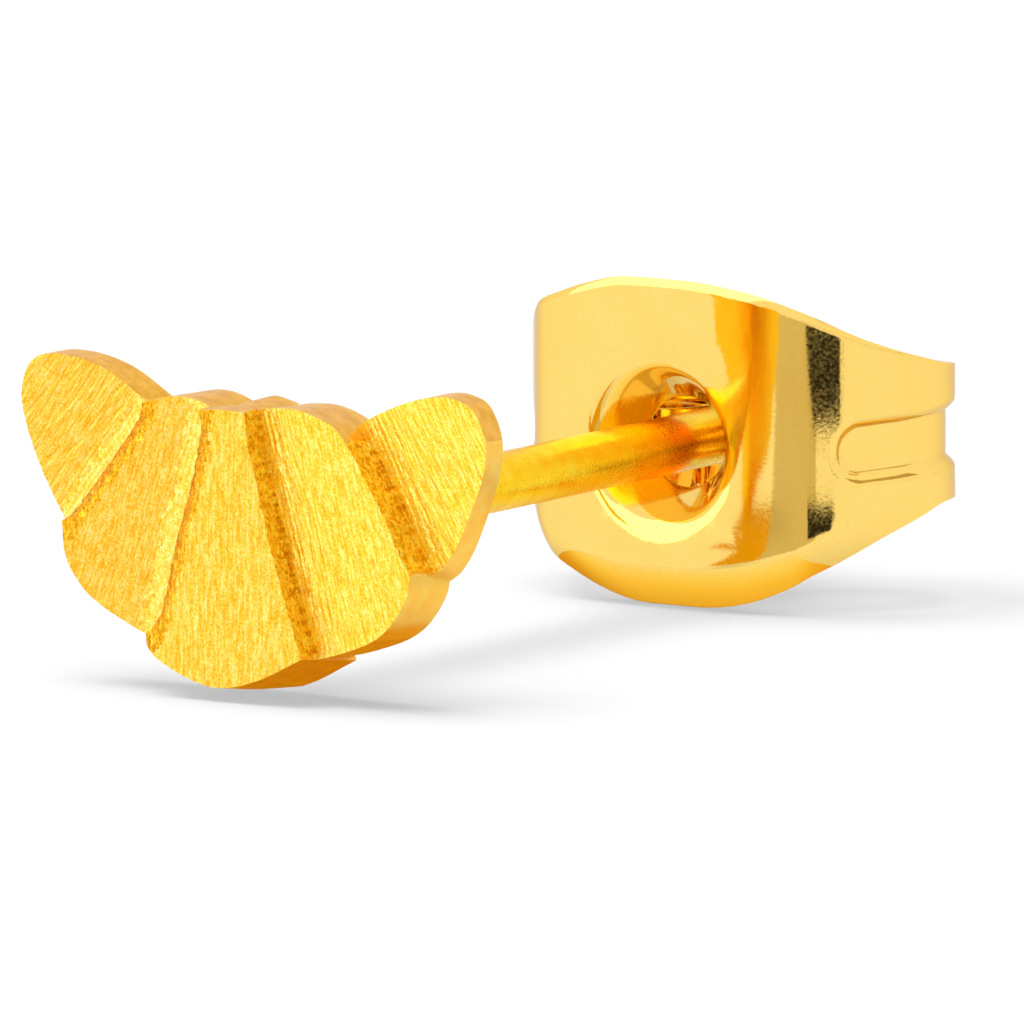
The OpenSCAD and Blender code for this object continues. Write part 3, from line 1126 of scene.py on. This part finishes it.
# name, place and aim in metres, width and height in metres, power in watts
LAMPS_FOR_METAL = [
    ("key_lamp", (-0.38, -0.53, 0.46), (0, 0, 0), 1.1, 1.1, 4.2),
    ("low_lamp", (0.0050, -0.0030, 0.00006), (0.0050, -0.0030, 1), 0.005, 0.006, 0.000032),
]
LAMPS_FOR_TABLE = [
    ("top_lamp", (-0.16, -0.11, 0.59), (0, 0, 0), 1.05, 1.05, 5.1),
    ("table_lamp", (-0.11, -0.07, 0.60), (0, 0, 0), 0.5, 0.5, 2.2),
]
for row in LAMPS_FOR_METAL:
    lamp(*row).visible_diffuse = False
for row in LAMPS_FOR_TABLE:
    lamp(*row).visible_glossy = False
only_croissant = bpy.data.collections.new("lit_by_low_lamp")
only_croissant.objects.link(croissant)
bpy.data.objects["low_lamp"].light_linking.receiver_collection = only_croissant
print("lamps:", [row[0] for row in LAMPS_FOR_METAL + LAMPS_FOR_TABLE])

# %% [markdown]
# ## Cards
#
# Polished metal only looks like metal when it has both light and dark to mirror, so photographers
# stand dark cards beside it, called flags. These show in reflections only and leave no shadow. A
# grey and two black ones lie where the bend of the back mirrors the table, and a brown one stands
# high on the right for the thin lines in the groove. The warm ones are the orange light that the
# gold throws on the table. Overlapping cards differ in height, or their faces would flicker.


# %% Helpers: cards for the reflections
BEND_X = 2.6
BEND_Y = 4.2
ORANGE = (0.80, 0.43, 0.01)
WARM_HEIGHT = 0.01
WARM_GLOW = 0.7


def flag(name, corners, tone, glow=0.0):
    """A card that only reflections see, with its four corners in millimetres."""
    bpy.ops.mesh.primitive_plane_add(size=MM)
    card = bpy.context.object
    card.name = name
    corners = [corners[0], corners[1], corners[3], corners[2]]
    for vertex, corner in zip(card.data.vertices, corners):
        vertex.co = Vector(corner) * MM
    card.data.materials.append(paper(f"{name}_paper", tone, glow))
    card.visible_camera = False
    card.visible_diffuse = False
    card.visible_shadow = False
    return card


def seen_from_bend(azimuth, reach, height):
    """A point so far from the back's bend, at an azimuth from the front towards the right."""
    turn = math.radians(azimuth)
    return (BEND_X + reach * math.sin(turn), BEND_Y - reach * math.cos(turn), height)


def floor_card(name, near, far, starts, end, tone, height):
    """A card on the floor between two distances from the bend of the back.

    It starts at one azimuth near the bend and another far from it, and ends at one azimuth."""
    turns = [(starts[0], near), (starts[1], far), (end, far), (end, near)]
    corners = [seen_from_bend(azimuth, reach, height) for azimuth, reach in turns]
    return flag(name, corners, tone)


def warm_card(name, left, right, front, rear):
    """A card for the warm light that the gold throws on the table close to it."""
    edges = [(left, front), (right, front), (right, rear), (left, rear)]
    return flag(name, [(x, y, WARM_HEIGHT) for x, y in edges], ORANGE, WARM_GLOW)


# %% Lay out the cards
GREY = (0.62, 0.56, 0.42)
BLACK = (0.02, 0.02, 0.02)
BROWN = (0.55, 0.42, 0.22)
GREY_HEIGHT = 0.02
BLACK_HEIGHT = 0.05
HIGH_REACH = 200
floor_card("grey_card", 4, 45, (-14, 7), 59, GREY, GREY_HEIGHT)
floor_card("near_black_card", 5.2, 10.8, (44, 44), 69, BLACK, BLACK_HEIGHT)
floor_card("far_black_card", 18.9, 34, (56, 38), 73, BLACK, BLACK_HEIGHT)
high_turns = [(80, 100), (116, 100), (116, 250), (80, 250)]
high_corners = [seen_from_bend(azimuth, HIGH_REACH, rise) for azimuth, rise in high_turns]
flag("high_dark_card", high_corners, BROWN)
warm_card("warm_card_below_croissant", -3.6, 3.6, -7.0, -4.2)
warm_card("warm_card_below_post", -0.6, 2.3, -4.2, 0.6)

# %% [markdown]
# The butterfly back mirrors the table before it, white further off and orange close by, where the
# gold throws its light on it. The last card is that painted reflection, a glowing card whose tone
# follows its length: a Map Range turns the place along Y into a share from 0 to 1, and a colour ramp
# gives the tone.

# %% The graded card below the back
GRADED = [
    # place from the front to the back in millimetres, and the tone there
    (1.7, (1.0, 1.0, 0.95)),
    (2.4, (1.0, 0.95, 0.75)),
    (2.9, (1.0, 0.92, 0.55)),
    (3.3, (1.0, 0.86, 0.38)),
    (3.6, (0.98, 0.76, 0.20)),
    (4.2, (0.88, 0.52, 0.06)),
    (5.2, (0.80, 0.40, 0.02)),
]
start_y, start_tone = GRADED[0]
end_y, end_tone = GRADED[-1]
graded_card = warm_card("graded_card_below_back", -2.6, 3.2, start_y, end_y)
tree = graded_card.data.materials[0].node_tree
place = tree.nodes.new("ShaderNodeTexCoord")
parts = tree.nodes.new("ShaderNodeSeparateXYZ")
share = tree.nodes.new("ShaderNodeMapRange")
dial(share, {"From Min": start_y * MM, "From Max": end_y * MM})
ramp = tree.nodes.new("ShaderNodeValToRGB")
for y, tone in GRADED[1:-1]:
    element = ramp.color_ramp.elements.new((y - start_y) / (end_y - start_y))
    element.color = (*tone, 1)
ramp.color_ramp.elements[0].color = (*start_tone, 1)
ramp.color_ramp.elements[-1].color = (*end_tone, 1)
tree.links.new(place.outputs["Object"], parts.inputs["Vector"])
tree.links.new(parts.outputs["Y"], share.inputs["Value"])
tree.links.new(share.outputs["Result"], ramp.inputs["Fac"])
# painted reflection: the card glows with its tone instead of being lit
glow = tree.nodes["Principled BSDF"]
dial(glow, {"Base Color": (0, 0, 0, 1), "Emission Strength": 1.0})
tree.links.new(ramp.outputs["Color"], glow.inputs["Emission Color"])
print("graded card from", start_y, "to", end_y, "mm with", len(GRADED), "tones")

# %% [markdown]
# ## Camera
#
# Jewellery is photographed with a long lens from well back, so that its far part isn't drawn much
# smaller. This view is 33 degrees round from the face and 8.1 degrees above the table, and the
# distance follows from the lens and the width of the view.

# %% Camera
AZIMUTH = math.radians(33)
ELEVATION = math.radians(8.1)
VIEW_WIDTH = 14.03 * MM
AIM = Vector((0.0, 0.14 * MM, 1.74 * MM))
LENS = 1200
SENSOR = 36
distance = VIEW_WIDTH / SENSOR * LENS
back = Vector((
    math.sin(AZIMUTH) * math.cos(ELEVATION),
    -math.cos(AZIMUTH) * math.cos(ELEVATION),
    math.sin(ELEVATION),
))
bpy.ops.object.camera_add(location=AIM + back * distance)
camera = bpy.context.object
camera.rotation_mode = "QUATERNION"
camera.rotation_quaternion = (-back).to_track_quat("-Z", "Y")
camera.data.lens = LENS
camera.data.sensor_width = SENSOR
camera.data.clip_start = 0.01
camera.data.clip_end = 5
bpy.context.scene.camera = camera
print("camera at", round(distance / MM), "mm")

# %% [markdown]
# ## Ride and finish
#
# The pieces ride on the CAD model's bodies, so that the back slides along the post. The gold throws
# no warm light on the table, which keeps the shadows neutral.

# %% Ride and finish
for piece in (croissant, post, sheet):
    piece.visible_diffuse = False
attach(croissant, "stud")
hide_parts("croissant_stud")
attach(post, "stud")
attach(sheet, "clutch")
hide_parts("butterfly_back")
